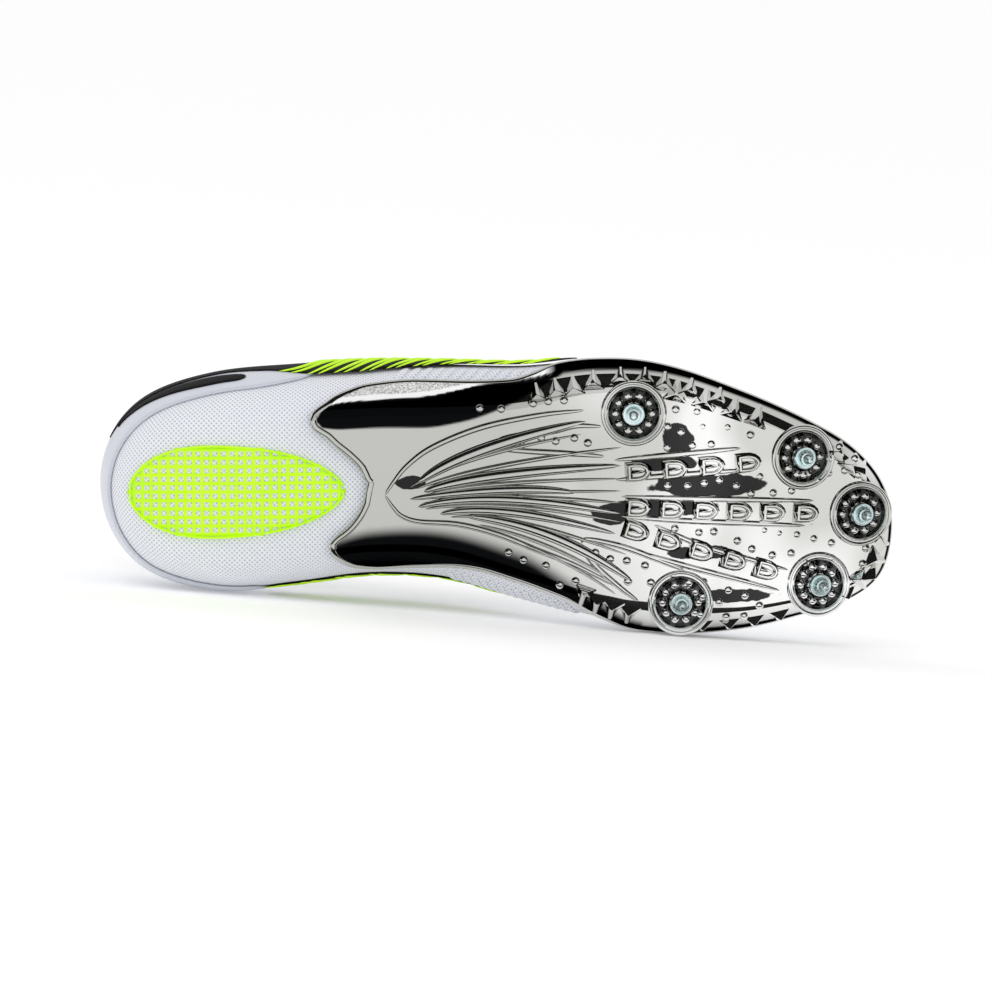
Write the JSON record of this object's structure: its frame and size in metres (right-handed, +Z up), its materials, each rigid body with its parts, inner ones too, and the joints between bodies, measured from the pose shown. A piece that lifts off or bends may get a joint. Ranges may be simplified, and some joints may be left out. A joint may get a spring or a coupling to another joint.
{
  "type": "track spike shoe",
  "caption": "Low-cut running spike for the right foot, lying on its side: hollow mesh upper, chrome-plated plate with screw-in pins, teeth and lugs, lime oval heel pad, lacing over a tongue.",
  "frame": {"origin": "bottom centre of the box round the shoe as it lies on its medial side, on the floor", "axes": "+X from heel to toe along the floor, -Y the way the sole faces, +Z up from the floor, which is the shoe's lateral side"},
  "size_m": [0.2804, 0.097, 0.0953],
  "materials": {
    "mesh_white": "woven mesh",
    "chrome_plated": "chrome plated",
    "lime_rubber": "satin",
    "grey_film": "satin",
    "black_film": "matte",
    "black_textile": "matte",
    "lace_textile": "matte",
    "insole_textile": "matte",
    "spike_steel": "satin"
  },
  "bodies": {
    "root": {"upper": "mesh_white", "spike_plate": "chrome_plated", "heel_pad": "lime_rubber", "heel_counter": "grey_film", "eyestay": "black_film", "tongue": "black_textile", "laces": "lace_textile", "insole": "insole_textile", "spike_1": "spike_steel", "spike_2": "spike_steel", "spike_3": "spike_steel", "spike_4": "spike_steel", "spike_5": "spike_steel"}
  },
  "joints": []
}
